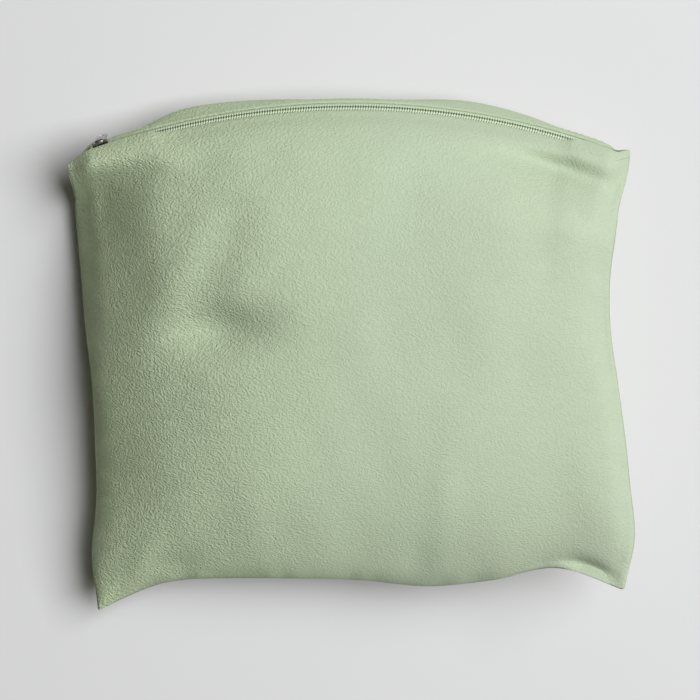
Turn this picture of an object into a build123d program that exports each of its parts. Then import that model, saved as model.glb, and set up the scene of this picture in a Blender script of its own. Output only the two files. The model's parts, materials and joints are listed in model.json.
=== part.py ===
"""Small zipped camp pillow: a two-panel fabric cover closed by a coil zip, over a fibre-filled insert.

The pillow lies on its back. +Z is up, towards its front, and +Y points to the zip edge. The zip
lies on one arc about a vertical axis, so everything on it is revolved about that axis, and the
slider turns about it. Lengths are in millimetres and angles in degrees.
"""
from build123d import *
import os
from math import cos, radians, sin, sqrt

# Cover outline at its seam: the corners away from the zip, and how far each side bows in
seam_height = 28.0
top_left_x = -112.2
top_right_x = 110.5
bottom_left = (-103.5, -103.2)
bottom_right = (112.9, -93.0)
left_bow = 3.0
right_bow = 7.5
bottom_bow = 8.0
crown_bow = 0.2
seam_corner_radius = 4.0
crown_corner_radius = 22.0
cover_fabric = 0.8

# Each half of the cover as (height, radius of its zip edge about the zip's axis), from the seam outwards
front_edge = [(28, 300.5), (34, 297.3), (42, 292), (50, 283.5), (56, 271), (59, 257), (60, 243)]
back_edge = [(28, 300.5), (24, 302.4), (18, 302.9), (11, 300.3), (5, 292.5), (1.5, 281.5), (0, 267)]
front_crown_inset = 64.0
back_crown_inset = 56.0

# Zip: its axis, the chain's centre line, how far its face leans to the front, and its two ends
zip_axis_y = -200.7
zip_radius = 299.2
zip_lean = 28.0
left_end = -20.4
right_end = 20.4
stop_sweep = 0.35

# Distances across the zip from its centre line, to the front as positive
chain_gap = 0.6
coil_edge = 2.2
opening_edge = 4.1
tape_edge = 6.0
front_stitch_line = 6.6
back_stitch_line = -5.4

# Distances out of the zip's face, and thicknesses
tape_thickness = 0.5
tape_room = 0.25
coil_height = 1.3
opening_depth = 6.0
thread_height = 1.1
thread_radius = 0.25
thread_room = 0.05
clearance = 0.3

# Slider, with its nose towards the left end of the zip
slider_angle = -19.1
slider_length = 9.0
slider_shoulder_start = 1.8
slider_shoulder_end = 3.2
slider_shoulder_width = 6.8
slider_end_width = 5.2
slider_plate = 0.9
slider_bevel = 0.6
post_length = 1.6
bar_radius = 0.55
bar_height = 4.6
crown_length = 6.4
crown_leg = 1.3

# Pull tab, rolled round the crown's bar
pull_length = 17.0
pull_width = 4.2
pull_thickness = 1.0
pull_lean = 5.0
pull_hole_radius = 1.1
barrel_radius = 1.15
barrel_length = 3.0
pin_fit = 0.06

# Insert: how far its outside stays within the cover's outside
insert_side_gap = 5.0
insert_height_gap = 1.3
insert_zip_gap = 8.5
insert_corner_radius = 12.0
casing_fabric = 0.5
fill_gap = 0.3

# Worked out from the sizes above
zip_axis = Axis((0, zip_axis_y, 0), (0, 0, -1))
zip_sweep = right_end - left_end
coil_middle = tape_thickness / 2 + coil_height / 2
upper_plate_height = tape_thickness / 2 + coil_height + clearance
lower_plate_height = -tape_thickness / 2 - clearance
crown_foot = upper_plate_height + slider_plate


def zip_directions(angle):
    """Along the zip, across it towards the front, and out of its face, at an angle from its middle."""
    along = Vector(cos(radians(angle)), -sin(radians(angle)), 0)
    radial = Vector(sin(radians(angle)), cos(radians(angle)), 0)
    up = Vector(0, 0, 1)
    across = up * cos(radians(zip_lean)) - radial * sin(radians(zip_lean))
    out = radial * cos(radians(zip_lean)) + up * sin(radians(zip_lean))
    return along, across, out


def chain_point(angle, height=0.0):
    """Point on the chain's centre line, or at a height out of the zip's face above it."""
    _, _, out = zip_directions(angle)
    x = zip_radius * sin(radians(angle))
    y = zip_axis_y + zip_radius * cos(radians(angle))
    return Vector(x, y, seam_height) + out * height


def section_plane(angle):
    """Plane that cuts the zip square, with x across it and y out of its face."""
    along, across, _ = zip_directions(angle)
    return Plane(chain_point(angle), x_dir=across, z_dir=along * -1)


def slider_plane(height):
    """Plane level with the zip's face at the slider, with x along the zip and y towards the back."""
    along, _, out = zip_directions(slider_angle)
    return Plane(chain_point(slider_angle, height), x_dir=along, z_dir=out)


def pillow_form(edge, crown_inset, side_gap=0.0, height_gap=0.0, zip_gap=0.0, least_corner=0.0):
    """One crowned half of a pillow, from its seam to its flat crown, inside the cover by the gaps."""
    cover_rise = edge[-1][0] - seam_height
    rise = cover_rise * (1 - height_gap / abs(cover_rise))
    with BuildPart() as form:
        for height, radius in edge:
            share = (height - seam_height) / cover_rise
            inset = crown_inset * (1 - sqrt(1 - share**1.5)) + side_gap
            corner = seam_corner_radius + (crown_corner_radius - seam_corner_radius) * share
            edge_radius = radius - zip_gap
            left = top_left_x + inset
            right = top_right_x - inset
            top_left = (left, zip_axis_y + sqrt(edge_radius**2 - left**2))
            top_right = (right, zip_axis_y + sqrt(edge_radius**2 - right**2))
            low_left = (bottom_left[0] + inset, bottom_left[1] + inset)
            low_right = (bottom_right[0] - inset, bottom_right[1] + inset)
            with BuildSketch(Plane.XY.offset(seam_height + rise * share)) as outline:
                with BuildLine():
                    RadiusArc(top_left, top_right, edge_radius)
                    SagittaArc(top_right, low_right, -crown_bow - right_bow * (1 - share))
                    SagittaArc(low_right, low_left, -crown_bow - bottom_bow * (1 - share))
                    SagittaArc(low_left, top_left, -crown_bow - left_bow * (1 - share))
                make_face()
                fillet(outline.vertices(), max(corner, least_corner))
        loft()
    return form.part


def insert_form(edge, crown_inset, inward):
    """One half of the insert, a distance inside the insert's own outside."""
    return pillow_form(
        edge,
        crown_inset,
        side_gap=insert_side_gap + inward,
        height_gap=insert_height_gap + inward,
        zip_gap=insert_zip_gap + inward,
        least_corner=insert_corner_radius,
    )


def zip_bar(across, height, width, thickness, start=left_end, sweep=zip_sweep, mode=Mode.ADD):
    """Bar along the zip with a rectangular section, centred across the zip and out of its face."""
    with BuildSketch(section_plane(start)) as section:
        with Locations((across, height)):
            Rectangle(width, thickness)
    revolve(section.sketch, axis=zip_axis, revolution_arc=sweep, mode=mode)


def zip_thread(across, radius, mode=Mode.ADD):
    """Round thread along the whole zip, lying on the cover beside it."""
    with BuildSketch(section_plane(left_end)) as section:
        with Locations((across, thread_height)):
            Circle(radius)
    revolve(section.sketch, axis=zip_axis, revolution_arc=zip_sweep, mode=mode)


def cut_zip_opening(stitch_line):
    """Cut the opening between the folds, the room for the tapes and the groove under the thread."""
    zip_bar(0, opening_depth / 4, 2 * opening_edge, opening_depth, mode=Mode.SUBTRACT)
    pocket = 3 * (tape_thickness / 2 + tape_room)
    zip_bar(0, -pocket / 6, 2 * tape_edge + clearance, pocket, mode=Mode.SUBTRACT)
    zip_thread(stitch_line, thread_radius + thread_room, mode=Mode.SUBTRACT)


def slider_outline():
    """Slider's plan: widest at its shoulders, behind the nose, and narrow at both ends."""
    nose = -slider_length / 2
    half_end = slider_end_width / 2
    half_shoulder = slider_shoulder_width / 2
    with BuildLine() as plan:
        Polyline(
            (nose, 0),
            (nose, half_end),
            (nose + slider_shoulder_start, half_shoulder),
            (nose + slider_shoulder_end, half_shoulder),
            (-nose, half_end),
            (-nose, 0),
        )
        mirror(about=Plane.XZ)
    return plan.line


def finish(piece, name):
    """Name a finished piece and write it to its own file."""
    piece.label = name
    export_step(piece, f"parts/{name}.step")


os.makedirs("parts", exist_ok=True)

# Cover panels: fabric shells that meet along the seam and are folded back beside the zip
halves = {
    "front": (front_edge, front_crown_inset, front_stitch_line),
    "back": (back_edge, back_crown_inset, back_stitch_line),
}
for half, (edge, crown_inset, stitch_line) in halves.items():
    outside = pillow_form(edge, crown_inset)
    inside = pillow_form(edge, crown_inset, cover_fabric, cover_fabric, cover_fabric)
    with BuildPart() as cover:
        add(outside)
        add(inside, mode=Mode.SUBTRACT)
        cut_zip_opening(stitch_line)
    finish(cover.part, f"cover_{half}")

    with BuildPart() as topstitch:
        zip_thread(stitch_line, thread_radius)
    finish(topstitch.part, f"topstitch_{half}")

# Tapes and coils, with a gap between the two coils for the slider's post
tape_width = tape_edge - chain_gap
coil_width = coil_edge - chain_gap
coil_centre = chain_gap + coil_width / 2
for half, side in (("front", 1), ("back", -1)):
    with BuildPart() as tape:
        zip_bar(side * (chain_gap + tape_width / 2), 0, tape_width, tape_thickness)
    finish(tape.part, f"zipper_tape_{half}")

    with BuildPart() as coil:
        coil_sweep = zip_sweep - 2 * stop_sweep
        zip_bar(side * coil_centre, coil_middle, coil_width, coil_height, left_end + stop_sweep, coil_sweep)
    finish(coil.part, f"zipper_coil_{half}")

# Stops: one on each tape beyond the closed slider, and one across both at the other end
with BuildPart() as top_stops:
    for side in (1, -1):
        zip_bar(side * coil_centre, coil_middle, coil_width, coil_height, sweep=stop_sweep)
finish(top_stops.part, "top_stops")

with BuildPart() as bottom_stop:
    zip_bar(0, coil_middle, 2 * coil_edge, coil_height, right_end - stop_sweep, stop_sweep)
finish(bottom_stop.part, "bottom_stop")

# Slider body: two plates, the walls beside the coils and the post between them
with BuildPart() as slider_body:
    with BuildSketch(slider_plane(crown_foot)):
        make_face(slider_outline().edges())
    extrude(amount=-slider_plate)
    face_normal = Axis(chain_point(slider_angle), slider_plane(0).z_dir)
    chamfer(slider_body.faces().sort_by(face_normal)[-1].edges(), slider_bevel)
    with BuildSketch(slider_plane(lower_plate_height)):
        make_face(slider_outline().edges())
    extrude(amount=-slider_plate)
    with BuildSketch(slider_plane(upper_plate_height)):
        make_face(slider_outline().edges())
        Rectangle(2 * slider_length, 2 * (coil_edge + clearance), mode=Mode.SUBTRACT)
    extrude(amount=-coil_height)
    with BuildSketch(slider_plane(lower_plate_height)):
        with Locations((slider_shoulder_start - slider_length / 2, 0)):
            Rectangle(post_length, 2 * (chain_gap - clearance))
    extrude(amount=upper_plate_height - lower_plate_height)
finish(slider_body.part, "slider_body")

# Crown: a round bar along the zip, held on two legs that stand on the slider
along, _, out = zip_directions(slider_angle)
bar_middle = chain_point(slider_angle, bar_height)
leg_spacing = crown_length - crown_leg
with BuildPart() as slider_crown:
    with BuildSketch(slider_plane(crown_foot)):
        with GridLocations(leg_spacing, 0, 2, 1):
            Rectangle(crown_leg, crown_leg)
    extrude(amount=bar_height + bar_radius - crown_foot)
    with BuildSketch(Plane(bar_middle, x_dir=out, z_dir=along)):
        Circle(bar_radius)
    extrude(amount=leg_spacing / 2, both=True)
finish(slider_crown.part, "slider_crown")

# Pull tab: a plate with a barrel round the crown's bar, hanging down behind the back
radial = Vector(0, 0, 1).cross(along)
hang = radial * sin(radians(pull_lean)) - Vector(0, 0, 1) * cos(radians(pull_lean))
pull_face = Plane(bar_middle, x_dir=hang, z_dir=along.cross(hang))
pull_section = Plane(bar_middle, x_dir=hang, z_dir=along)
with BuildPart() as pull_tab:
    with BuildSketch(pull_face):
        with Locations((pull_length / 2 + barrel_radius / 2, 0)):
            RectangleRounded(pull_length - barrel_radius, pull_width, pull_width / 3)
        with Locations((barrel_radius, 0)):
            Rectangle(2 * barrel_radius, barrel_length)
        with Locations((pull_length - pull_width / 2, 0)):
            Circle(pull_hole_radius, mode=Mode.SUBTRACT)
    extrude(amount=pull_thickness / 2, both=True)
    with BuildSketch(pull_section):
        Circle(barrel_radius)
    extrude(amount=barrel_length / 2, both=True)
    with BuildSketch(pull_section):
        Circle(bar_radius + pin_fit)
    extrude(amount=pull_width, both=True, mode=Mode.SUBTRACT)
finish(pull_tab.part, "pull_tab")

# Insert: a closed casing of two thin shells round one mass of fibre
for half, (edge, crown_inset, _) in halves.items():
    shell_outside = insert_form(edge, crown_inset, 0)
    shell_inside = insert_form(edge, crown_inset, casing_fabric)
    with BuildPart() as casing:
        add(shell_outside)
        add(shell_inside, mode=Mode.SUBTRACT)
    finish(casing.part, f"insert_casing_{half}")

fibre_halves = [insert_form(edge, crown_inset, casing_fabric + fill_gap) for edge, crown_inset, _ in halves.values()]
with BuildPart() as fibre_fill:
    add(fibre_halves)
finish(fibre_fill.part, "fibre_fill")

print("pull tab pivot", tuple(bar_middle), "axis", tuple(along))
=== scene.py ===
"""Zipped camp pillow lying on its back on a pale floor, seen from above with its zip edge away.

Everything is in metres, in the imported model's own frame: +Z up, +Y towards the zip edge. The cover
is two cloth panels that cloth simulation inflates, with their folds held beside the zip.
"""
import json
import math

import bmesh
import bpy
import numpy as np
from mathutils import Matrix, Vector


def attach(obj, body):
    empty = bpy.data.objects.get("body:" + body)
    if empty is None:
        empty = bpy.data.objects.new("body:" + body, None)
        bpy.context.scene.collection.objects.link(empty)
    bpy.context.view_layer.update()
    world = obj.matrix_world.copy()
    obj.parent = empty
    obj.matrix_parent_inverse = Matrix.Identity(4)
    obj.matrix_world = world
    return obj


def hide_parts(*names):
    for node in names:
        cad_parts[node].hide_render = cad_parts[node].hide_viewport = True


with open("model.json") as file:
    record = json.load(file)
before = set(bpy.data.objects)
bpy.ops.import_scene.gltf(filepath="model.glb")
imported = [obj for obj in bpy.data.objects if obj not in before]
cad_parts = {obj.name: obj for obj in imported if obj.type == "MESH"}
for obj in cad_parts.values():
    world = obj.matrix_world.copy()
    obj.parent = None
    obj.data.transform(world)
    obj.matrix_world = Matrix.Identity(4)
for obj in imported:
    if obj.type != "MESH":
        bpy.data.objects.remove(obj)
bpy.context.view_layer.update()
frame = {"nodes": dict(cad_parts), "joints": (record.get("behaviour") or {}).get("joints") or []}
MM = 0.001

# The zip's arc: the slider's axis, the chain's radius about it, how far the zip's face leans to the
# front, and the angles of its two ends and of the cover's two corners beyond them
travel = next(joint for joint in frame["joints"] if joint["name"] == "slider_travel")
ARC_X, ARC_Y, CHAIN_Z = travel["pos_m"]
CHAIN_RADIUS = 299.2 * MM
ZIP_LEAN = math.radians(28)
ZIP_END = math.radians(20.4)
STOP_SWEEP = math.radians(0.35)
LEFT_CORNER = math.radians(-22.0)
RIGHT_CORNER = math.radians(21.65)

# Cover before it is blown up: its lower corners, how far each side bows in, and each half's crown, whose
# powers say how square it is across, along its lower half and along its upper half
LOW_LEFT = np.array([-103.3, -102.6, 28.0]) * MM
LOW_RIGHT = np.array([111.0, -93.4, 28.0]) * MM
LEFT_BOW = -3 * MM
RIGHT_BOW = 7 * MM
BOTTOM_BOW = 9 * MM
CROWN = {1: 30 * MM, -1: 28 * MM}
SIDE_POWER = 2.6
TOP_POWER = 3.2
CROWN_FULLNESS = 0.75
CELLS_ACROSS = 110
CELLS_ALONG = 96
SIMULATED_FRAMES = 25
# Cover when it is done: the thickness of its fabric, how deep the floor presses into it, how softly it
# bends up off the floor, and how many times that height is clear of it
FABRIC = 0.36 * MM
SINK = 1.5 * MM
ROUND_OFF = 2.0 * MM
CLEAR_OF_FLOOR = 8

# The rows of each panel held beside the zip: at the stitching, between, and at the fold. Each has two
# places, in mm across the zip and out of its face: the usual one, and where it is raised as a hood.
HELD_FRONT = (((7.0, 1.5), (7.6, 2.6)), ((5.3, 2.1), (4.4, 3.5)), ((3.7, 1.85), (1.7, 3.8)))
HELD_BACK = (((6.2, 1.3),) * 2, ((5.2, 1.5),) * 2, ((4.2, 1.4),) * 2)
HELD_ROWS = 3
# From one held row to the next, as the panel is cut
ROW_STEP = 1.5 * MM
# Shares of the zip's length from each corner over which the held rows open out
CORNER_OPENING = (0, 0.045)
# Shares of the zip's length, from its left and its right corner, over which each hood comes down, and
# shares of a hood's rise over which the held rows move across the zip and out of its face
HOOD_LEFT = (0.1, 0.22)
HOOD_RIGHT = (0.075, 0.14)
HOOD_ACROSS = (0.35, 1)
HOOD_OUT = (0, 0.6)

# Hem: the radius of its turn at the fold, how much smaller that is under a hood, its steps round the
# fold in degrees, and the cloth that it takes
HEM_TURN = 0.45 * MM
HEM_UNDER_HOOD = 0.4
HEM_STEPS = range(36, 181, 36)

# Stitches: the step from one to the next, the gap between two, the length without any at each corner,
# the thread's radii, and the heights above the fabric, in mm, of the points along a stitch
STITCH_STEP = 2.7 * MM
STITCH_GAP = 0.45 * MM
STITCH_MARGIN = 13 * MM
THREAD_BESIDE = 0.17 * MM
THREAD_UP = 0.12 * MM
STITCH_RISE = (-0.3, -0.04, 0.02, 0.04, 0.02, -0.04, -0.3)

# Tape: how far its ends stay inside the cover's corners, and the points along it. It widens from the
# corners in two steps: a share of its width, and the degrees from the corner where that starts and ends.
TAPE_END = math.radians(0.25)
TAPE_POINTS = 300
TAPE_WIDENING = ((0.6, 0, 2), (0.4, 1.2, 4))
TAPE_END_THICKNESS = 0.3
# The tapes' inner edges, which are less than TAPE_EDGE mm across, come together by this share over this
# sweep up to the chain's ends
TAPE_EDGE = 1.0
TAPES_MEET = 0.95
TAPES_MEET_SWEEP = math.radians(0.2)
# A tape's section, in mm across the zip and out of its face
TAPE_SECTION = (
    (0.6, -0.25),
    (0.6, 0.25),
    (0.9, 0.25),
    (3.3, 0.25),
    (8.1, 0.25),
    (8.2, 0.15),
    (8.2, -0.15),
    (8.1, -0.25),
    (3.3, -0.25),
    (0.9, -0.25),
)

# Coil: its pitch and points in a turn. The rest is in mm: how far out its loops reach, how far back their
# heads come from there, just past the middle, how high the loops lie, and half of how high they are.
COIL_PITCH = 1.02 * MM
COIL_STEPS = 16
COIL_REACH = 2.0
COIL_HEAD_TRAVEL = 2.1
COIL_HEIGHT = 0.9
COIL_RISE = 0.36
# The wire's two radii, in mm, how much less they are in a head, and where along a loop the head starts
WIRE_WIDE = 0.36
WIRE_WIDE_LESS = 0.14
WIRE_THICK = 0.27
WIRE_THICK_LESS = 0.04
HEAD = (0.6, 1)
# The two lines of chain stitches over each coil: their places across the zip, height and wave, in mm,
# and their radii and sides
CHAIN_STITCHES = (1.15, 1.55)
CHAIN_STITCH_HEIGHT = 1.22
CHAIN_STITCH_WAVE = 0.1
CHAIN_STITCH_BESIDE = 0.12 * MM
CHAIN_STITCH_UP = 0.1 * MM
CHAIN_STITCH_SIDES = 5

# Insert: the points across its grids, and shares of the cover's length that it leaves free beside the
# zip, and over which its edges round off
INNER_CELLS = 90
INSERT_TOP_GAP = 0.05
INSERT_ROUND_OFF = 0.16
# Casing and fibre: each one's margin from the cover's seams, as a share, and its gap under the cover
CASING_PLACE = (0.025, 1.2 * MM)
CASING_FABRIC = 0.3 * MM
FIBRE_PLACE = (0.04, 2.4 * MM)
LUMPS = 0.5 * MM
LUMP_SIZE = 0.02
LUMP_SEEDS = (41, 42)

# How far each side of the cover stands out beyond the simulated one, in mm, at even steps from the
# lower corner up, and from left to right along the bottom. It fades out over EASE_REACH, a share of the
# panel, and over the shares of its length in EASE_TOP.
LEFT_EASE = (0.5, 3.6, 1.4, 1.2, 1.0, 2.2, 2.0, 1.6, 0)
RIGHT_EASE = (-2.0, 5.6, 6.0, 4.9, 2.1, -1.7, -3.6, -2.8, 0)
BOTTOM_EASE = (4.5, -2.4, -1.7, 1.2, 3.6, 6.4, 1.9, -6.6, -1.6)
EASE_REACH = 0.45
EASE_TOP = (0.88, 0.965)
# How far the left seam hangs below the zip's level, in mm, at even steps from the lower corner up, with
# the share of the panel that it reaches over, and the shares below the zip over which it starts
LEFT_SLUMP = (9, 9, 9, 9, 9, 12, 15, 17, 14)
SLUMP_REACH = 0.33
SLUMP_BELOW_ZIP = (0.02, 0.1)
# How far the right seam stands above the zip's level, with the same two for it
LIFT_RIGHT = 16 * MM
LIFT_ACROSS = (0.55, 1)
LIFT_BELOW_ZIP = (0.03, 0.2)
# How far the right corner beside the zip stands out, and the shares across and along over which it does
RIGHT_CORNER_RISE = 5 * MM
CORNER_ACROSS = (0.965, 1)
CORNER_ALONG = (0.8, 1)
# How far the back panel puffs out behind the zip, in mm, at even steps from left to right, and the
# shares of its length over which that grows and ends
BACK_PUFF = (0, 1.2, 7.2, 6.8, 4.6, 2.4, 4.2, 6.8, 5.8, 2.4, 0)
PUFF_GROWS = (0.75, 0.93)
PUFF_ENDS = (0.96, 0.98)

# Unevenness of the cover: the size, height and seed of its broad and its fine waves, whose sizes vary
# between the two factors, and the shares inside the seams and below the zip over which it starts
BROAD_WAVES = (0.06, 0.3 * MM, 11)
FINE_WAVES = (0.03, 0.12 * MM, 21)
WAVE_FACTORS = (0.7, 1.5)
INSIDE_SEAM = (0, 0.022)
INSIDE_ZIP = (0.03, 0.08)
# Puckers along the seams: their height, their length over 2 pi at the sides and at the bottom, and the
# shares over which they reach in from a seam, start beside it, and start below the zip
PUCKER_HEIGHT = 0.35 * MM
PUCKER_SIDE = 3.1 * MM
PUCKER_BOTTOM = 3.3 * MM
PUCKER_REACH = 0.03
PUCKER_START = (0, 0.01)
PUCKER_BELOW_ZIP = (0.03, 0.1)
# How unevenly they follow on each other, in radians, and the size and seeds of that
PUCKER_DRIFT = 2
DRIFT_SIZE = 0.03
DRIFT_SEEDS = (31, 32)

# Soft hollows and ridges of the front, in mm: middle x and y, length and width, turn in degrees, height.
# The one at (-50, 14) is the hollow of a thumb's press, and the next two fan from it.
FRONT_FORM = (
    (-76, 60, 26, 13, 84, 3.6),
    (-100, 60, 24, 8, 92, -2.0),
    (-77, 86, 13, 8, -25, 3.5),
    (-55, 0, 80, 42, 90, -3.0),
    (84, -2, 78, 34, 90, -7.5),
    (-50, 14, 17, 9, 10, -7.0),
    (-69, 33, 26, 9, 62, 2.2),
    (-48, 48, 30, 10, 70, -2.0),
    (-72, -48, 40, 16, 84, 1.6),
    (80, 79, 26, 10, -30, -7.6),
    (95, -85, 9, 4, -25, -4.0),
    (-73, -84, 10, 5, 10, -1.4),
    (-84, -82, 10, 4, 60, 1.0),
    (37, -51, 16, 6, 90, 0.7),
    (27, -80, 10, 6, 90, -0.8),
)
# The same for the back, which shows only behind the zip and from other sides
BACK_FORM = (
    (-62, 60, 34, 14, 10, 1.5),
    (-90, -40, 26, 8, 80, -1.2),
    (60, -60, 24, 9, 50, -1.0),
)

# Cut of a cover panel, flat, without its seam allowances: its width, its length at both sides up to the
# stitching, how much longer it is in the middle, and its whole length with the fold and the hem
FLAT_WIDTH = 0.225
FLAT_LEFT = 0.182
FLAT_RIGHT = 0.176
FLAT_ARCH = 0.021

# Metal and moulded pieces, made from their CAD nodes: points closer than WELD are merged, edges that turn
# by less than FLAT_TURN are dissolved, and those that turn by more than SHARP_TURN are rounded
WELD = 0.002 * MM
FLAT_TURN = math.radians(4)
SHARP_TURN = math.radians(30)

# Floor, which lies a little under the pillow, light and camera
FLOOR_HALF = 3.0
FLOOR_DROP = 0.0002
KEY_PLACE = (1.62, 0.69, 2.46)
KEY_SIZE = 2.25
KEY_POWER = 140
KEY_COLOUR = (0.965, 0.985, 1.03)
KEY_AIM = (0, 0, 0.03)
SKY_COLOUR = (1, 0.96, 0.8, 1)
SKY_STRENGTH = 0.07
CAMERA_DISTANCE = 0.95
CAMERA_TILT = math.radians(8)
CAMERA_TARGET = (-0.0004, 0.0027, CHAIN_Z)
CAMERA_NEAR = 0.01
SENSOR_WIDTH = 36
VIEW_WIDTH = 0.280


# ---------------------------------------------------------------- shapes

def zip_points(angle, across, out):
    """Points beside the chain: angle along the zip, distance across it to the front and out of its face."""
    angle, across, out = np.broadcast_arrays(*(np.asarray(a, float) for a in (angle, across, out)))
    radius = CHAIN_RADIUS - across * math.sin(ZIP_LEAN) + out * math.cos(ZIP_LEAN)
    height = CHAIN_Z + across * math.cos(ZIP_LEAN) + out * math.sin(ZIP_LEAN)
    return np.stack([ARC_X + radius * np.sin(angle), ARC_Y + radius * np.cos(angle), height], -1)


def zip_out(angle):
    """Unit vectors out of the zip's face."""
    angle = np.asarray(angle, float)
    flat = math.cos(ZIP_LEAN)
    return np.stack([flat * np.sin(angle), flat * np.cos(angle), 0 * angle + math.sin(ZIP_LEAN)], -1)


def smooth(x, low=0.0, high=1.0):
    """Smooth step from 0 at low to 1 at high."""
    t = np.clip((np.asarray(x, float) - low) / (high - low), 0, 1)
    return t * t * (3 - 2 * t)


def new_object(name, vertices, faces):
    """Mesh object with smooth faces."""
    mesh = bpy.data.meshes.new(name)
    mesh.from_pydata(np.asarray(vertices).tolist(), [], faces)
    mesh.update()
    mesh.shade_smooth()
    obj = bpy.data.objects.new(name, mesh)
    bpy.context.scene.collection.objects.link(obj)
    return obj


def bowed_side(start, end, bow, count):
    """Points from start to end, bowed sideways in the horizontal plane."""
    t = np.linspace(0, 1, count)[:, None]
    line = start * (1 - t) + end * t
    normal = np.array([start[1] - end[1], end[0] - start[0], 0])
    return line + normal / np.linalg.norm(normal) * bow * 4 * t * (1 - t)


def corner_angles():
    """Angles along the zip of a panel's columns, from corner to corner."""
    return np.linspace(LEFT_CORNER, RIGHT_CORNER, CELLS_ACROSS + 1)


def shares():
    """Shares of the zip's length at a panel's columns."""
    return np.linspace(0, 1, CELLS_ACROSS + 1)


def hood():
    """How far the front fold is raised over the zip, from 0 to 1, along it."""
    share = shares()
    return np.maximum(1 - smooth(share, *HOOD_LEFT), 1 - smooth(1 - share, *HOOD_RIGHT))


def corner_opening():
    """How far the held rows have opened out from the corners, from 0 to 1, along the zip."""
    share = shares()
    return smooth(np.minimum(share, 1 - share), *CORNER_OPENING)


def held_rows(side):
    """The rows of a panel that are sewn to its tape: at the stitching, between, and at the fold.

    Near both ends of the zip the front panel's fold is raised, as a hood over the slider.
    """
    share = shares()
    opened = corner_opening()
    corner = zip_points(np.array([LEFT_CORNER, RIGHT_CORNER]), 0, 0)
    down_left = (LOW_LEFT - corner[0]) / np.linalg.norm(LOW_LEFT - corner[0])
    down_right = (LOW_RIGHT - corner[1]) / np.linalg.norm(LOW_RIGHT - corner[1])
    down = np.where(share[:, None] < 0.5, down_left, down_right)
    rows = []
    raised = hood()
    for number, (usual, hooded) in enumerate(HELD_FRONT if side > 0 else HELD_BACK):
        across = side * (usual[0] + (hooded[0] - usual[0]) * smooth(raised, *HOOD_ACROSS))
        out = usual[1] + (hooded[1] - usual[1]) * smooth(raised, *HOOD_OUT)
        row = zip_points(corner_angles(), across * MM * opened, out * MM * opened)
        row += (1 - opened)[:, None] * (HELD_ROWS - 1 - number) * ROW_STEP * down
        rows.append(row)
    return rows


def panel_start(side):
    """Grid of one panel at the start: its seam outline and held rows, with a crown between them."""
    held = held_rows(side)
    free = CELLS_ALONG - HELD_ROWS + 2
    top = held[0]
    left = bowed_side(LOW_LEFT, top[0], LEFT_BOW, free)
    right = bowed_side(LOW_RIGHT, top[-1], RIGHT_BOW, free)
    bottom = bowed_side(LOW_LEFT, LOW_RIGHT, BOTTOM_BOW, CELLS_ACROSS + 1)
    u = np.linspace(0, 1, CELLS_ACROSS + 1)[:, None, None]
    v = np.linspace(0, 1, free)[None, :, None]
    grid = (1 - v) * bottom[:, None] + v * top[:, None] + (1 - u) * left[None] + u * right[None]
    grid -= (1 - v) * ((1 - u) * LOW_LEFT + u * LOW_RIGHT) + v * ((1 - u) * top[0] + u * top[-1])
    across = np.clip(1 - np.abs(2 * u - 1) ** SIDE_POWER, 0, 1) ** CROWN_FULLNESS
    power = np.where(v < 0.5, SIDE_POWER, TOP_POWER)
    along = np.clip(1 - np.abs(2 * v - 1) ** power, 0, 1) ** CROWN_FULLNESS
    grid[..., 2] += side * CROWN[side] * (across * along)[..., 0]
    return np.concatenate([grid] + [row[:, None] for row in held[1:]], 1)


def panel_flat():
    """Grid of one panel as it is cut, lying flat. Its springs take their lengths from it."""
    u = np.linspace(0, 1, CELLS_ACROSS + 1)[:, None]
    rows = np.arange(CELLS_ALONG + 1)[None]
    last_free = CELLS_ALONG - HELD_ROWS + 1
    length = FLAT_LEFT + (FLAT_RIGHT - FLAT_LEFT) * u + FLAT_ARCH * (1 - (2 * u - 1) ** 2)
    beyond = np.maximum(rows - last_free, 0) * ROW_STEP
    y = length * np.minimum(rows / last_free, 1) + beyond
    x = (u - 0.5) * FLAT_WIDTH + 0 * rows
    return np.stack([x, y, 0 * y], -1)


def numbered(size, shared):
    """Number the points of a front and a back grid, which have the points at shared in common.

    Returns which of all their points are used, and the grids' numbers of those.
    """
    front = np.arange(size[0] * size[1]).reshape(size)
    back = front + front.size
    back[shared] = front[shared]
    used, packed = np.unique(np.concatenate([front.ravel(), back.ravel()]), return_inverse=True)
    return used, packed[: front.size].reshape(size), packed[front.size :].reshape(size)


def inflatable_faces(front, back):
    """Faces of both panels, and of a strip across the zip from one fold to the other."""
    faces = []
    for i in range(CELLS_ACROSS):
        for j in range(CELLS_ALONG):
            faces.append([front[i, j], front[i + 1, j], front[i + 1, j + 1], front[i, j + 1]])
            faces.append([back[i, j], back[i, j + 1], back[i + 1, j + 1], back[i + 1, j]])
        across_zip = [front[i, -1], front[i + 1, -1], back[i + 1, -1], back[i, -1]]
        faces.append(list(dict.fromkeys(across_zip)))
    return [[int(k) for k in face] for face in faces]


def add_cloth(obj, flat, held):
    """Make an object cloth under pressure, cut from its flat shape and held at some of its points."""
    obj.shape_key_add(name="start")
    cut = obj.shape_key_add(name="cut")
    cut.data.foreach_set("co", flat.ravel())
    group = obj.vertex_groups.new(name="held")
    group.add(np.unique(held).tolist(), 1.0, "REPLACE")
    modifier = obj.modifiers.new("cloth", "CLOTH")
    cloth = modifier.settings
    cloth.quality = 5
    cloth.mass = 0.3
    cloth.tension_stiffness = 15
    cloth.compression_stiffness = 15
    cloth.shear_stiffness = 5
    cloth.bending_stiffness = 0.05
    cloth.air_damping = 2.0
    cloth.use_pressure = True
    cloth.uniform_pressure_force = 3.0
    cloth.vertex_group_mass = group.name
    cloth.rest_shape_key = cut
    cloth.effector_weights.gravity = 0
    modifier.collision_settings.use_collision = False


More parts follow.
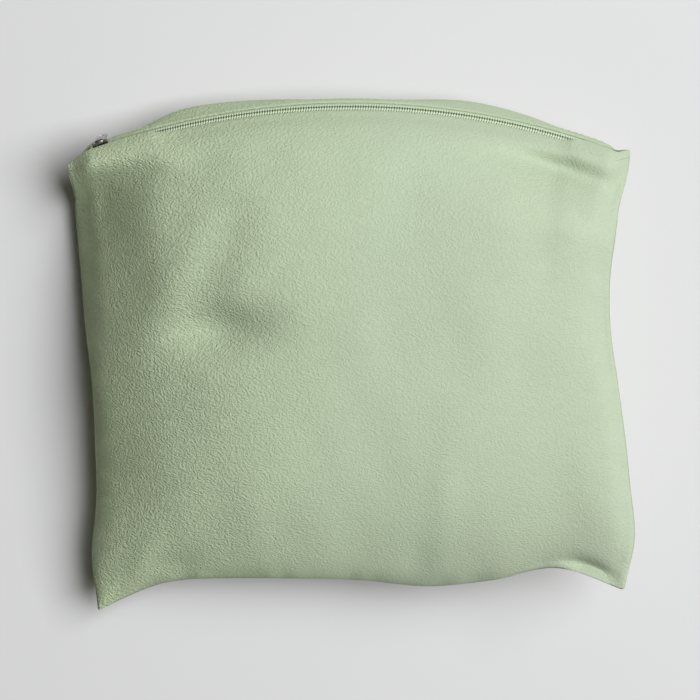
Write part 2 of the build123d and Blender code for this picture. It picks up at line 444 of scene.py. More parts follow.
def inflate(frames):
    """Blow the two panels up between their seam and the held rows, and return the front and back grids."""
    size = (CELLS_ACROSS + 1, CELLS_ALONG + 1)
    seam = np.zeros(size, bool)
    seam[0], seam[-1], seam[:, 0] = True, True, True
    used, front, back = numbered(size, seam)
    start = np.concatenate([panel_start(1).reshape(-1, 3), panel_start(-1).reshape(-1, 3)])[used]
    flat = np.concatenate([panel_flat().reshape(-1, 3)] * 2)[used]
    held = np.concatenate([front[:, -HELD_ROWS:].ravel(), back[:, -HELD_ROWS:].ravel(), front[[0, -1], 0]])
    cloth_object = new_object("inflating", start, inflatable_faces(front, back))
    add_cloth(cloth_object, flat, held)
    scene = bpy.context.scene
    for number in range(1, frames + 1):
        scene.frame_set(number)
    settled = cloth_object.evaluated_get(bpy.context.evaluated_depsgraph_get()).data
    points = np.zeros(len(settled.vertices) * 3)
    settled.vertices.foreach_get("co", points)
    points = points.reshape(-1, 3)
    scene.frame_set(1)
    bpy.data.objects.remove(cloth_object)
    return points[front], points[back]


def grid_normals(grid):
    """Unit normals of a grid of points."""
    along_u, along_v = np.gradient(grid, axis=0), np.gradient(grid, axis=1)
    normal = np.cross(along_u, along_v)
    return normal / np.maximum(np.linalg.norm(normal, axis=-1, keepdims=True), 1e-12)


def waves(grid, seed, size, count=24):
    """Smooth noise, mostly from -1 to 1, over a grid's X and Y: a sum of plane waves of about one size."""
    random = np.random.default_rng(seed)
    total = np.zeros(grid.shape[:-1])
    for _ in range(count):
        angle, phase = random.uniform(0, 2 * math.pi, 2)
        wave = 2 * math.pi / (size * random.uniform(*WAVE_FACTORS))
        total += np.sin(wave * (grid[..., 0] * math.cos(angle) + grid[..., 1] * math.sin(angle)) + phase)
    return total / math.sqrt(count)


def eased(values, t):
    """Smooth curve through evenly spaced values, at t from 0 to 1."""
    values = np.asarray(values, float)
    padded = np.concatenate([[2 * values[0] - values[1]], values, [2 * values[-1] - values[-2]]])
    place = np.clip(t, 0, 1) * (len(values) - 1)
    step = np.minimum(place.astype(int), len(values) - 2)
    f = place - step
    a, b, c, d = (padded[step + k] for k in range(4))
    return b + 0.5 * f * (c - a + f * (2 * a - 5 * b + 4 * c - d + f * (3 * (b - c) + d - a)))


def shift_outline(grid, u, v):
    """Move a panel's sides out or in, let its left seam hang, and lift its right seam and corner."""
    beside = 1 - smooth(v, *EASE_TOP)
    grid[..., 0] -= eased(LEFT_EASE, v) * MM * (1 - smooth(u, 0, EASE_REACH)) * beside
    grid[..., 0] += eased(RIGHT_EASE, v) * MM * smooth(u, 1 - EASE_REACH, 1) * beside
    grid[..., 1] -= eased(BOTTOM_EASE, u) * MM * (1 - smooth(v, 0, EASE_REACH))
    grid[..., 1] += RIGHT_CORNER_RISE * smooth(u, *CORNER_ACROSS) * smooth(v, *CORNER_ALONG)
    slump = eased(LEFT_SLUMP, v) * MM * smooth(1 - v, *SLUMP_BELOW_ZIP)
    grid[..., 2] -= slump * (1 - smooth(u, 0, SLUMP_REACH))
    grid[..., 2] += LIFT_RIGHT * smooth(u, *LIFT_ACROSS) * smooth(1 - v, *LIFT_BELOW_ZIP)


def form_height(grid, forms):
    """Summed height of soft hollows and ridges over a grid's X and Y."""
    total = np.zeros(grid.shape[:-1])
    for x, y, length, width, turn, height in forms:
        away = grid[..., :2] / MM - (x, y)
        c, s = math.cos(math.radians(turn)), math.sin(math.radians(turn))
        along, beside = away[..., 0] * c + away[..., 1] * s, away[..., 1] * c - away[..., 0] * s
        total += height * MM * np.exp(-((along / length) ** 2) - (beside / width) ** 2)
    return total


def near_seam(distance):
    """Where puckers show, by the share of the panel between them and their seam."""
    return np.exp(-((distance / PUCKER_REACH) ** 2)) * smooth(distance, *PUCKER_START)


def pucker_height(grid, u, v):
    """Height of the small puckers along a panel's sides and bottom."""
    side_seed, bottom_seed = DRIFT_SEEDS
    drift_side = PUCKER_DRIFT * waves(grid, side_seed, DRIFT_SIZE)
    drift_bottom = PUCKER_DRIFT * waves(grid, bottom_seed, DRIFT_SIZE)
    beside = np.sin(grid[..., 1] / PUCKER_SIDE + drift_side) * near_seam(np.minimum(u, 1 - u))
    below = np.sin(grid[..., 0] / PUCKER_BOTTOM + drift_bottom) * near_seam(v)
    return PUCKER_HEIGHT * (beside + below) * smooth(1 - v, *PUCKER_BELOW_ZIP)


def uneven_height(grid, side):
    """Height of the broad and the fine waves in a panel."""
    total = np.zeros(grid.shape[:-1])
    for size, height, seed in (BROAD_WAVES, FINE_WAVES):
        total += waves(grid, seed + side, size) * height
    return total


def rested(height):
    """Heights of a panel that lies on the floor: what would be under it is pressed up to just above it."""
    z = height - SINK
    pressed = ROUND_OFF * np.log1p(np.exp(np.minimum(z / ROUND_OFF, CLEAR_OF_FLOOR)))
    clear = CLEAR_OF_FLOOR * ROUND_OFF
    return np.where(z > clear, z + SINK * smooth(z, clear, CHAIN_Z), pressed)


def settle(grid, side):
    """Shape a simulated panel: its outline, its hollows, ridges and puckers, and its rest on the floor."""
    grid = grid.copy()
    u = np.linspace(0, 1, grid.shape[0])[:, None]
    v = np.linspace(0, 1, grid.shape[1])[None]
    shift_outline(grid, u, v)
    normal = grid_normals(grid) * side
    from_seam = np.minimum(np.minimum(u, 1 - u), v)
    inside = smooth(from_seam, *INSIDE_SEAM) * smooth(1 - v, *INSIDE_ZIP)
    lift = uneven_height(grid, side) * inside + pucker_height(grid, u, v)
    form = form_height(grid, FRONT_FORM if side > 0 else BACK_FORM) * inside
    grid += normal * lift[..., None]
    grid[..., 2] += side * form
    if side < 0:
        puff = eased(BACK_PUFF, u) * MM * smooth(v, *PUFF_GROWS) * (1 - smooth(v, *PUFF_ENDS))
        grid[..., :2] += puff[..., None] * zip_out(corner_angles())[:, None, :2] / math.cos(ZIP_LEAN)
    grid[..., 2] = rested(grid[..., 2])
    return grid


def hemmed(grid, side):
    """Add the turned-in hem to a panel: round the fold, then back under the held rows."""
    out = zip_out(corner_angles())
    fold = grid[:, -1]
    turn = HEM_TURN * corner_opening()[:, None]
    if side > 0:
        turn = turn * (1 - HEM_UNDER_HOOD * hood())[:, None]
    toward = fold - grid[:, -2]
    toward /= np.maximum(np.linalg.norm(toward, axis=-1, keepdims=True), 1e-9)
    rows = [grid]
    for angle in np.radians(HEM_STEPS):
        ring = fold + turn * (toward * math.sin(angle) - out * (1 - math.cos(angle)))
        rows.append(ring[:, None])
    for row in (-2, -3):
        rows.append((grid[:, row] - 2 * turn * out)[:, None])
    return np.concatenate(rows, 1)


def cloth_solid(name, grid, side, thickness):
    """Closed cloth from a grid: its outside is the grid, and its inside lies a thickness within."""
    inner = grid - side * grid_normals(grid) * thickness
    rows, columns = grid.shape[:2]
    outer_index = np.arange(rows * columns).reshape(rows, columns)
    inner_index = outer_index + rows * columns
    faces = []
    for i in range(rows - 1):
        for j in range(columns - 1):
            quad = [(i, j), (i + 1, j), (i + 1, j + 1), (i, j + 1)]
            if side < 0:
                quad.reverse()
            faces.append([int(outer_index[k]) for k in quad])
            faces.append([int(inner_index[k]) for k in reversed(quad)])
    rim = [(i, 0) for i in range(rows)] + [(rows - 1, j) for j in range(1, columns)]
    rim += [(i, columns - 1) for i in range(rows - 2, -1, -1)] + [(0, j) for j in range(columns - 2, 0, -1)]
    for here, there in zip(rim, rim[1:] + rim[:1]):
        quad = [outer_index[here], inner_index[here], inner_index[there], outer_index[there]]
        if side < 0:
            quad.reverse()
        faces.append([int(k) for k in quad])
    obj = new_object(name, np.concatenate([grid.reshape(-1, 3), inner.reshape(-1, 3)]), faces)
    seam = set(outer_index[0].tolist() + outer_index[-1].tolist() + outer_index[:, 0].tolist())
    creases = obj.data.attributes.new("crease_edge", "FLOAT", "EDGE")
    for edge in obj.data.edges:
        creases.data[edge.index].value = float(seam.issuperset(edge.vertices))
    return obj


def with_modifiers_applied(obj):
    """Give an object the smooth mesh that its modifiers make, in place of them."""
    mesh = bpy.data.meshes.new_from_object(obj.evaluated_get(bpy.context.evaluated_depsgraph_get()))
    obj.modifiers.clear()
    obj.data = mesh
    mesh.shade_smooth()
    return obj


def subdivided(obj):
    """Apply one Catmull-Clark subdivision."""
    modifier = obj.modifiers.new("subdivision", "SUBSURF")
    modifier.levels = modifier.render_levels = 1
    return with_modifiers_applied(obj)


def tube(path, upward, radius_beside, radius_up, sides=8):
    """Vertices and faces of a capped oval tube along a path. Its second radius is towards upward."""
    path, upward = np.asarray(path), np.asarray(upward)
    tangent = np.gradient(path, axis=0)
    tangent /= np.linalg.norm(tangent, axis=1, keepdims=True)
    beside = np.cross(tangent, upward)
    beside /= np.linalg.norm(beside, axis=1, keepdims=True)
    up = np.cross(beside, tangent)
    turn = np.linspace(0, 2 * math.pi, sides, endpoint=False)[None, :, None]
    radius_beside = np.broadcast_to(radius_beside, len(path))[:, None, None]
    radius_up = np.broadcast_to(radius_up, len(path))[:, None, None]
    ring = radius_beside * np.cos(turn) * beside[:, None] + radius_up * np.sin(turn) * up[:, None]
    vertices = (path[:, None] + ring).reshape(-1, 3)
    faces = []
    for i in range(len(path) - 1):
        for k in range(sides):
            a, b = i * sides + k, i * sides + (k + 1) % sides
            faces.append([a, a + sides, b + sides, b])
    faces.append(list(range(sides)))
    faces.append([(len(path) - 1) * sides + k for k in reversed(range(sides))])
    return vertices, faces


def joined(name, parts):
    """One object from several (vertices, faces) pairs."""
    vertices, faces, count = [], [], 0
    for part_vertices, part_faces in parts:
        vertices.append(part_vertices)
        faces += [[k + count for k in face] for face in part_faces]
        count += len(part_vertices)
    return new_object(name, np.concatenate(vertices), faces)


# ---------------------------------------------------------------- materials

class Nodes:
    """Small helper that adds and links shader nodes of one material. Sizes are in metres."""

    def __init__(self, name):
        self.material = bpy.data.materials.new(name)
        self.material.use_nodes = True
        self.tree = self.material.node_tree
        self.shader = self.tree.nodes["Principled BSDF"]
        self.place = self.add("ShaderNodeTexCoord").outputs["Object"]

    def add(self, kind, **settings):
        """A new node. Each setting is an input, by its name, or else a property of the node."""
        node = self.tree.nodes.new(kind)
        for name, value in settings.items():
            if name in node.inputs:
                socket = node.inputs[name]
                if isinstance(value, bpy.types.NodeSocket):
                    self.tree.links.new(value, socket)
                else:
                    socket.default_value = value
            else:
                setattr(node, name, value)
        return node

    def set(self, **values):
        """Set or link the shader's inputs."""
        for name, value in values.items():
            socket = self.shader.inputs[name.replace("_", " ")]
            if isinstance(value, bpy.types.NodeSocket):
                self.tree.links.new(value, socket)
            else:
                socket.default_value = value

    def stretched(self, scale, turn=0.0, vector=None):
        """A point's place, scaled along each axis and turned about Z."""
        node = self.add("ShaderNodeMapping", Vector=vector or self.place)
        node.inputs["Scale"].default_value = scale
        node.inputs["Rotation"].default_value = (0, 0, turn)
        return node.outputs["Vector"]

    def separated(self):
        """Outputs for X, Y and Z of a point of the object."""
        return self.add("ShaderNodeSeparateXYZ", Vector=self.place).outputs

    def noise(self, size, detail=2.0, roughness=0.5, vector=None, distortion=0.0):
        """Noise of about one size."""
        node = self.add(
            "ShaderNodeTexNoise",
            Vector=vector or self.place,
            Scale=1 / size,
            Detail=detail,
            Roughness=roughness,
            Distortion=distortion,
        )
        return node.outputs["Fac"]

    def bands(self, size, direction, distortion):
        """Even bands across one direction."""
        node = self.add(
            "ShaderNodeTexWave",
            Vector=self.place,
            Scale=1 / size,
            Distortion=distortion,
            bands_direction=direction,
        )
        return node.outputs["Fac"]

    def ramp(self, value, stops):
        """Colours at positions along a value from 0 to 1."""
        node = self.add("ShaderNodeValToRGB", Fac=value)
        while len(node.color_ramp.elements) < len(stops):
            node.color_ramp.elements.new(0.5)
        for element, (position, color) in zip(node.color_ramp.elements, stops):
            element.position = position
            element.color = (*color, 1)
        return node.outputs["Color"]

    def mix(self, a, b, factor, blend="MIX"):
        """Two colours mixed by a factor."""
        node = self.add("ShaderNodeMix", data_type="RGBA", blend_type=blend)
        # The inputs of a Mix node for colours are number 0, its factor, and numbers 6 and 7
        for number, value in ((0, factor), (6, a), (7, b)):
            if isinstance(value, bpy.types.NodeSocket):
                self.tree.links.new(value, node.inputs[number])
            elif number == 0:
                node.inputs[number].default_value = value
            else:
                node.inputs[number].default_value = (*value, 1)
        return node.outputs[2]

    def math(self, operation, a, b=0.0):
        """The result of a sum, product or other operation on one or two values."""
        node = self.add("ShaderNodeMath", operation=operation)
        for socket, value in zip(node.inputs, (a, b)):
            if isinstance(value, bpy.types.NodeSocket):
                self.tree.links.new(value, socket)
            else:
                socket.default_value = value
        return node.outputs[0]

    def map_range(self, value, start, end, at_start, at_end):
        """A value that goes from at_start to at_end while another goes from start to end."""
        node = self.add("ShaderNodeMapRange", Value=value)
        node.inputs["From Min"].default_value = start
        node.inputs["From Max"].default_value = end
        node.inputs["To Min"].default_value = at_start
        node.inputs["To Max"].default_value = at_end
        return node.outputs["Result"]

    def bump(self, height, distance, strength=1.0, normal=None):
        """A surface raised by height times distance, on top of another bump if there is one."""
        node = self.add("ShaderNodeBump", Height=height, Distance=distance, Strength=strength)
        if normal is not None:
            self.tree.links.new(normal, node.inputs["Normal"])
        return node.outputs["Normal"]


def shade(color, factor):
    """A colour made darker or lighter."""
    return tuple(channel * factor for channel in color)


SAGE = (0.447, 0.524, 0.36)
# The crepe's pebbles stand higher where the cloth is slack, to the left, than where it is taut
SLACK_X = -100 * MM
TAUT_X = 0.0
SLACK_RELIEF = 1.2
TAUT_RELIEF = 0.42
# Painted shade across the fabric: its tint at shares of the way from the left side to the right, darker and
# yellower to the left and darker towards the right
PAINTED_SHADE_HALF_WIDTH = 100 * MM
PAINTED_SHADE_TINTS = (
    (0, (0.96, 0.96, 0.885)),
    (0.62, (1, 1, 1.02)),
    (0.86, (0.945, 0.935, 0.955)),
    (1, (0.915, 0.9, 0.93)),
)


def crepe_pebbles(nodes):
    """Short worm-like pebbles: fine noise, stretched, at places that a larger noise pushes about."""
    push = 4 * MM
    drift = nodes.add("ShaderNodeTexNoise", Vector=nodes.place, Scale=1 / (7 * MM), Detail=1.0)
    pushed = nodes.add("ShaderNodeVectorMath", operation="MULTIPLY_ADD")
    nodes.tree.links.new(drift.outputs["Color"], pushed.inputs[0])
    pushed.inputs[1].default_value = (push, push, push)
    nodes.tree.links.new(nodes.place, pushed.inputs[2])
    stretched = nodes.stretched((0.66, 0.96, 0.85), 0.3, pushed.outputs[0])
    return nodes.noise(0.67 * MM, 1.2, 0.5, stretched, 0.3)


def crepe_material():
    """Brushed crepe: fine worm-like pebbles, finer fibres, and a soft sheen, with painted shade in the
    pebbles' valleys and across the panel.
    """
    nodes = Nodes("sage_crepe")
    pebbles = crepe_pebbles(nodes)
    fibres = nodes.noise(0.2 * MM, 2.0, 0.6)
    patches = nodes.noise(26 * MM, 3.0, 0.55)
    base = nodes.mix(shade(SAGE, 0.97), shade(SAGE, 1.03), patches)
    # Painted shade: the pebbles' valleys a little darker and their tops a little lighter
    valley_shade = nodes.ramp(pebbles, [(0.3, (0.97, 0.97, 0.96)), (0.62, (1.02, 1.02, 1.02))])
    colour = nodes.mix(base, valley_shade, 1.0, "MULTIPLY")
    sideways = nodes.separated()[0]
    # Painted shade: the fabric is tinted darker and yellower to the left and darker towards the right
    painted_shade = nodes.ramp(nodes.map_range(sideways, -PAINTED_SHADE_HALF_WIDTH, PAINTED_SHADE_HALF_WIDTH, 0, 1), PAINTED_SHADE_TINTS)
    colour = nodes.mix(colour, painted_shade, 1.0, "MULTIPLY")
    slackness = nodes.map_range(sideways, SLACK_X, TAUT_X, SLACK_RELIEF, TAUT_RELIEF)
    relief = nodes.bump(nodes.math("MULTIPLY", pebbles, slackness), 0.75 * MM)
    nodes.set(
        Base_Color=colour,
        Roughness=0.93,
        Normal=nodes.bump(fibres, 0.03 * MM, 0.5, relief),
        Sheen_Weight=0.2,
        Sheen_Roughness=0.5,
        Sheen_Tint=(0.6, 0.72, 0.42, 1),
        Specular_IOR_Level=0.2,
    )
    return nodes.material


def thread_material():
    """Twisted polyester thread."""
    nodes = Nodes("sage_thread")
    twist = nodes.bands(1.6 * MM, "DIAGONAL", 1.0)
    colour = nodes.mix(shade(SAGE, 0.86), shade(SAGE, 1.08), twist)
    nodes.set(Base_Color=colour, Roughness=0.6, Normal=nodes.bump(twist, 0.04 * MM, 0.6), Sheen_Weight=0.15)
    return nodes.material


def across_zip(nodes):
    """How far a point of the zip is from the middle of its chain, in metres, from its place."""
    apart = nodes.separated()
    x, y = nodes.math("SUBTRACT", apart[0], ARC_X), nodes.math("SUBTRACT", apart[1], ARC_Y)
    radius = nodes.math("SQRT", nodes.math("ADD", nodes.math("MULTIPLY", x, x), nodes.math("MULTIPLY", y, y)))
    inward = nodes.math("MULTIPLY", nodes.math("SUBTRACT", CHAIN_RADIUS, radius), math.sin(ZIP_LEAN))
    upward = nodes.math("MULTIPLY", nodes.math("SUBTRACT", apart[2], CHAIN_Z), math.cos(ZIP_LEAN))
    return nodes.math("ABSOLUTE", nodes.math("ADD", inward, upward))


def tape_material():
    """Woven polyester zip tape: fine ribs along it, crossed by the weft."""
    nodes = Nodes("sage_tape")
    ribs = nodes.math("SINE", nodes.math("MULTIPLY", across_zip(nodes), 2 * math.pi / (0.55 * MM)))
    weft = nodes.bands(2.0 * MM, "X", 0.4)
    weave = nodes.math("ADD", nodes.math("MULTIPLY", ribs, 0.25), nodes.math("MULTIPLY", weft, 0.5))
    colour = nodes.mix(shade(SAGE, 1.1), shade(SAGE, 1.4), weave)
    nodes.set(Base_Color=colour, Roughness=0.85, Normal=nodes.bump(weave, 0.08 * MM, 0.8), Sheen_Weight=0.15)
    return nodes.material


def coil_material():
    """Dyed nylon monofilament, with painted shade darkening the middle where its heads mesh."""
    nodes = Nodes("sage_nylon")
    streaks = nodes.noise(0.5 * MM, 3.0, 0.6)
    colour = nodes.mix(shade(SAGE, 1.12), shade(SAGE, 1.45), streaks)
    out_of_painted_shade = nodes.map_range(across_zip(nodes), 0.15 * MM, 0.5 * MM, 0, 1)
    # Painted shade: near the chain's middle, where the heads mesh, the colour goes to a near-black green
    colour = nodes.mix((0.10, 0.11, 0.05), colour, out_of_painted_shade)
    nodes.set(Base_Color=colour, Roughness=0.42, Normal=nodes.bump(streaks, 0.01 * MM, 0.4), IOR=1.53)
    return nodes.material


def metal_material():
    """Dark nickel plate, worn brighter in fine scuffs."""
    nodes = Nodes("dark_nickel")
    scuffs = nodes.noise(0.35 * MM, 4.0, 0.7, nodes.stretched((1.0, 4.0, 1.0), 0.5))
    colour = nodes.ramp(scuffs, [(0.35, (0.24, 0.235, 0.23)), (0.75, (0.6, 0.59, 0.57))])
    roughness = nodes.map_range(scuffs, 0, 1, 0.22, 0.42)
    relief = nodes.bump(scuffs, 0.008 * MM, 0.5)
    nodes.set(Base_Color=colour, Metallic=1.0, Roughness=roughness, Normal=relief)
    return nodes.material


def casing_material():
    """Plain-woven white polyester."""
    nodes = Nodes("white_casing")
    weft = nodes.bands(3.0 * MM, "X", 0.5)
    warp = nodes.bands(3.0 * MM, "Y", 0.5)
    weave = nodes.math("MULTIPLY", weft, warp)
    colour = nodes.mix((0.78, 0.78, 0.76), (0.88, 0.88, 0.86), weave)
    nodes.set(Base_Color=colour, Roughness=0.9, Normal=nodes.bump(weave, 0.05 * MM, 0.7), Sheen_Weight=0.2)
    return nodes.material


def fibre_material():
    """Loose crimped polyester fibre."""
    nodes = Nodes("white_fibre")
    strands = nodes.noise(1.2 * MM, 6.0, 0.75, nodes.stretched((1.0, 0.25, 1.0), 0.7), 2.5)
    clumps = nodes.noise(14 * MM, 3.0, 0.5)
    colour = nodes.mix((0.84, 0.84, 0.83), (0.94, 0.94, 0.93), strands)
    relief = nodes.bump(strands, 0.4 * MM, 0.9, nodes.bump(clumps, 2 * MM, 0.6))
    nodes.set(Base_Color=colour, Roughness=1.0, Normal=relief, Sheen_Weight=0.4)
    return nodes.material


# ---------------------------------------------------------------- cover

def show(piece, material, slot, *nodes, body="pillow"):
    """Give a piece its material and body, and let it stand for its CAD nodes."""
    piece.data.materials.clear()
    piece.data.materials.append(material)
    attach(piece, body)
    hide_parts(*nodes)


CREPE = crepe_material()
THREAD = thread_material()
TAPE = tape_material()
COIL = coil_material()
METAL = metal_material()
CASING = casing_material()
FIBRE = fibre_material()

# Panels by the side that they are on, 1 towards the front and -1 towards the back
HALVES = {1: "front", -1: "back"}
front_grid, back_grid = inflate(SIMULATED_FRAMES)
grids = {1: settle(front_grid, 1), -1: settle(back_grid, -1)}


def stitches(name, row, normal):
    """Separate lockstitches along a row of points on the cover, their ends sunk into it."""
    distance = np.concatenate([[0], np.cumsum(np.linalg.norm(np.diff(row, axis=0), axis=1))])
    parts = []
    start = STITCH_MARGIN
    while start + STITCH_STEP < distance[-1] - STITCH_MARGIN:
        places = np.linspace(start, start + STITCH_STEP - STITCH_GAP, len(STITCH_RISE))
        path = np.stack([np.interp(places, distance, row[:, k]) for k in range(3)], 1)
        up = np.stack([np.interp(places, distance, normal[:, k]) for k in range(3)], 1)
        rise = np.array(STITCH_RISE) * MM
        parts.append(tube(path + up * rise[:, None], up, THREAD_BESIDE, THREAD_UP))
        start += STITCH_STEP
    return joined(name, parts)


for side, half in HALVES.items():
    grid = hemmed(grids[side], side)
    panel = subdivided(cloth_solid(f"cover_{half}_cloth", grid, side, FABRIC))
    show(panel, CREPE, "cover_fabric", f"cover_{half}")
    stitched_row = grids[side][:, -HELD_ROWS]
    row_normal = grid_normals(grids[side])[:, -HELD_ROWS] * side
    thread = stitches(f"topstitch_{half}_thread", stitched_row, row_normal)
    show(thread, THREAD, "thread", f"topstitch_{half}")


# ---------------------------------------------------------------- zip

def zip_tape(side):
    """One woven tape. It narrows into the cover's corners, and meets the other tape beyond the stops."""
    angles = np.linspace(LEFT_CORNER + TAPE_END, RIGHT_CORNER - TAPE_END, TAPE_POINTS)
    from_corner = np.degrees(np.minimum(angles - LEFT_CORNER, RIGHT_CORNER - angles))
    width = sum(share * smooth(from_corner, start, end) for share, start, end in TAPE_WIDENING)
    thickness = TAPE_END_THICKNESS + (1 - TAPE_END_THICKNESS) * width
    apart = 1 - TAPES_MEET * smooth(np.abs(angles), ZIP_END - TAPES_MEET_SWEEP, ZIP_END)
    rings = []
    for across, out in TAPE_SECTION:
        spread = apart if across < TAPE_EDGE else 1
        rings.append(zip_points(angles, side * across * MM * width * spread, out * MM * thickness))
    rings = np.stack(rings, 1)
    count = len(TAPE_SECTION)
    faces = []
    for i in range(len(angles) - 1):
        for k in range(count):
            a, b = i * count + k, i * count + (k + 1) % count
            quad = [a, b, b + count, a + count]
            faces.append(quad if side > 0 else quad[::-1])
    ends = [list(range(count))[::-1], [(len(angles) - 1) * count + k for k in range(count)]]
    faces += ends if side > 0 else [end[::-1] for end in ends]
    return new_object(f"zipper_tape_{HALVES[side]}_woven", rings.reshape(-1, 3), faces)


def zip_coil(side):
    """One side of the chain: a flattened spiral of nylon whose heads lock between the other side's."""
    pitch = COIL_PITCH / CHAIN_RADIUS
    first, last = -ZIP_END + STOP_SWEEP, ZIP_END - STOP_SWEEP
    turns = int((last - first) / pitch) - 1
    t = np.arange(turns * COIL_STEPS + 1) / COIL_STEPS
    head = 0.5 - 0.5 * np.cos(2 * math.pi * t)
    angle = first + pitch * (t + (0.5 if side > 0 else 1.0))
    across = side * (COIL_REACH - COIL_HEAD_TRAVEL * head) * MM
    out = (COIL_HEIGHT + COIL_RISE * np.sin(2 * math.pi * t) * side) * MM
    along = np.stack([np.cos(angle), -np.sin(angle), 0 * angle], -1)
    wide = (WIRE_WIDE - WIRE_WIDE_LESS * smooth(head, *HEAD)) * MM
    thick = (WIRE_THICK - WIRE_THICK_LESS * smooth(head, *HEAD)) * MM
    parts = [tube(zip_points(angle, across, out), along, thick, wide)]
    angles = np.arange(first + pitch, last - pitch, pitch / 4)
    height = (CHAIN_STITCH_HEIGHT + CHAIN_STITCH_WAVE * np.cos(2 * math.pi * (angles - first) / pitch)) * MM
    for place in CHAIN_STITCHES:
        line = zip_points(angles, side * place * MM, height)
        parts.append(tube(line, zip_out(angles), CHAIN_STITCH_BESIDE, CHAIN_STITCH_UP, CHAIN_STITCH_SIDES))
    return joined(f"zipper_coil_{HALVES[side]}_wound", parts)


for side, half in HALVES.items():
    show(zip_tape(side), TAPE, "zip_tape", f"zipper_tape_{half}")
    show(zip_coil(side), COIL, "zip_coil", f"zipper_coil_{half}")


def rounded_copy(node, width):
    """A copy of a CAD node with its edges rounded."""
    source = frame["nodes"][node]
    mesh = source.data.copy()
    work = bmesh.new()
    work.from_mesh(mesh)
    bmesh.ops.remove_doubles(work, verts=work.verts, dist=WELD)
    bmesh.ops.dissolve_limit(work, angle_limit=FLAT_TURN, verts=work.verts, edges=work.edges)
    work.to_mesh(mesh)
    work.free()
    piece = bpy.data.objects.new(f"{node}_finished", mesh)
    bpy.context.scene.collection.objects.link(piece)
    bevel = piece.modifiers.new("bevel", "BEVEL")
    bevel.width = width
    bevel.segments = 2
    bevel.limit_method = "ANGLE"
    bevel.angle_limit = SHARP_TURN
    return with_modifiers_applied(piece)


for node, width, material, slot, body in (
    ("top_stops", 0.15 * MM, COIL, "zip_coil", "pillow"),
    ("bottom_stop", 0.2 * MM, COIL, "zip_coil", "pillow"),
    ("slider_body", 0.15 * MM, METAL, "zip_metal", "slider"),
    ("slider_crown", 0.15 * MM, METAL, "zip_metal", "slider"),
    ("pull_tab", 0.15 * MM, METAL, "zip_metal", "pull"),
):
    show(rounded_copy(node, width), material, slot, node, body=body)


# ---------------------------------------------------------------- insert

def resampled(grid, u, v):
    """A grid's points at the given fractional rows and columns."""
    row, column = np.floor(u).astype(int), np.floor(v).astype(int)
    share_u, share_v = (u - row)[:, None, None], (v - column)[None, :, None]
    near = grid[row][:, column] * (1 - share_v) + grid[row][:, column + 1] * share_v
    far = grid[row + 1][:, column] * (1 - share_v) + grid[row + 1][:, column + 1] * share_v
    return near * (1 - share_u) + far * share_u


def inner_grid(side, margin, gap):
    """A grid inside the cover: drawn in from its edges by margin, and from its surface by gap."""
    u = np.linspace(margin, 1 - margin, INNER_CELLS) * CELLS_ACROSS
    v = np.linspace(margin, 1 - margin - INSERT_TOP_GAP, INNER_CELLS) * CELLS_ALONG
    surfaces = {half: resampled(grids[half], u, v) for half in grids}
    grid = surfaces[side]
    middle = (surfaces[1][..., 2] + surfaces[-1][..., 2]) / 2
    edge = np.minimum(np.arange(INNER_CELLS), np.arange(INNER_CELLS)[::-1]) / (INNER_CELLS - 1)
    from_edge = np.minimum(edge[:, None], edge[None])
    closing = np.sqrt(1 - (1 - np.clip(from_edge / INSERT_ROUND_OFF, 0, 1)) ** 2)
    height = np.maximum((grid[..., 2] - middle) * side - gap, 0)
    grid[..., 2] = middle + side * height * closing
    return grid


for side, half in HALVES.items():
    casing = cloth_solid(f"insert_casing_{half}_cloth", inner_grid(side, *CASING_PLACE), side, CASING_FABRIC)
    show(casing, CASING, "casing_fabric", f"insert_casing_{half}")


def fibre():
    """The fibre mass: one closed lumpy form inside the casing."""
    front, back = (inner_grid(side, *FIBRE_PLACE) for side in HALVES)
    size = front.shape[:2]
    inside = (slice(1, -1), slice(1, -1))
    front_seed, back_seed = LUMP_SEEDS
    front[..., 2][inside] -= LUMPS * (1 + waves(front, front_seed, LUMP_SIZE)[inside]).clip(0, 2)
    back[..., 2][inside] += LUMPS * (1 + waves(back, back_seed, LUMP_SIZE)[inside]).clip(0, 2)
    rim = np.ones(size, bool)
    rim[inside] = False
    middle = (front + back) / 2
    front[rim] = middle[rim]
    used, front_number, back_number = numbered(size, rim)
    points = np.concatenate([front.reshape(-1, 3), back.reshape(-1, 3)])[used]
    faces = []
    for i in range(size[0] - 1):
        for j in range(size[1] - 1):
            quad = [(i, j), (i + 1, j), (i + 1, j + 1), (i, j + 1)]
            faces.append([int(front_number[k]) for k in quad])
            faces.append([int(back_number[k]) for k in reversed(quad)])
    return new_object("fibre_fill_loose", points, faces)


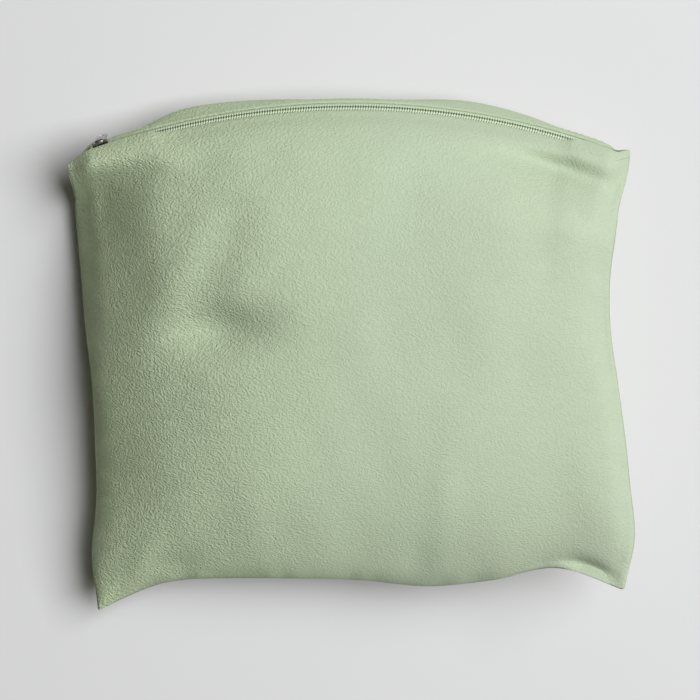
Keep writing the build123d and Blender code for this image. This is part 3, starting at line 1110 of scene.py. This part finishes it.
fill = fibre()
show(fill, FIBRE, "fibre", "fibre_fill")


# ---------------------------------------------------------------- floor, light and camera

def floor():
    """Large matte floor with a faint mottle."""
    corners = [(-1, -1, 0), (1, -1, 0), (1, 1, 0), (-1, 1, 0)]
    obj = new_object("floor", np.array(corners) * FLOOR_HALF, [[0, 1, 2, 3]])
    obj.location.z = -FLOOR_DROP
    nodes = Nodes("pale_floor")
    mottle = nodes.noise(0.4, 3.0)
    nodes.set(Base_Color=nodes.mix((0.635, 0.625, 0.61), (0.655, 0.645, 0.63), mottle), Roughness=0.95)
    obj.data.materials.append(nodes.material)


def key_light():
    """Soft square light from the right and beyond the zip, aimed at the pillow."""
    light = bpy.data.lights.new("key", "AREA")
    light.size = KEY_SIZE
    light.energy = KEY_POWER
    light.color = KEY_COLOUR
    obj = bpy.data.objects.new("key", light)
    obj.location = KEY_PLACE
    obj.rotation_euler = (Vector(KEY_AIM) - Vector(KEY_PLACE)).to_track_quat("-Z", "Y").to_euler()
    bpy.context.scene.collection.objects.link(obj)


def sky():
    """Faint warm light from all round."""
    world = bpy.data.worlds.new("studio")
    bpy.context.scene.world = world
    world.use_nodes = True
    background = world.node_tree.nodes["Background"]
    background.inputs["Color"].default_value = SKY_COLOUR
    background.inputs["Strength"].default_value = SKY_STRENGTH


def camera():
    """Camera above the pillow, tilted to look a little from the zip's side."""
    obj = bpy.data.objects.new("camera", bpy.data.cameras.new("camera"))
    away = np.array([0, math.sin(CAMERA_TILT), math.cos(CAMERA_TILT)])
    obj.location = np.array(CAMERA_TARGET) + CAMERA_DISTANCE * away
    obj.rotation_euler = (-CAMERA_TILT, 0, 0)
    obj.data.sensor_width = SENSOR_WIDTH
    obj.data.lens = SENSOR_WIDTH * CAMERA_DISTANCE / VIEW_WIDTH
    obj.data.clip_start = CAMERA_NEAR
    bpy.context.scene.collection.objects.link(obj)
    bpy.context.scene.camera = obj


floor()
key_light()
sky()
camera()
bpy.context.scene.view_settings.view_transform = "Standard"
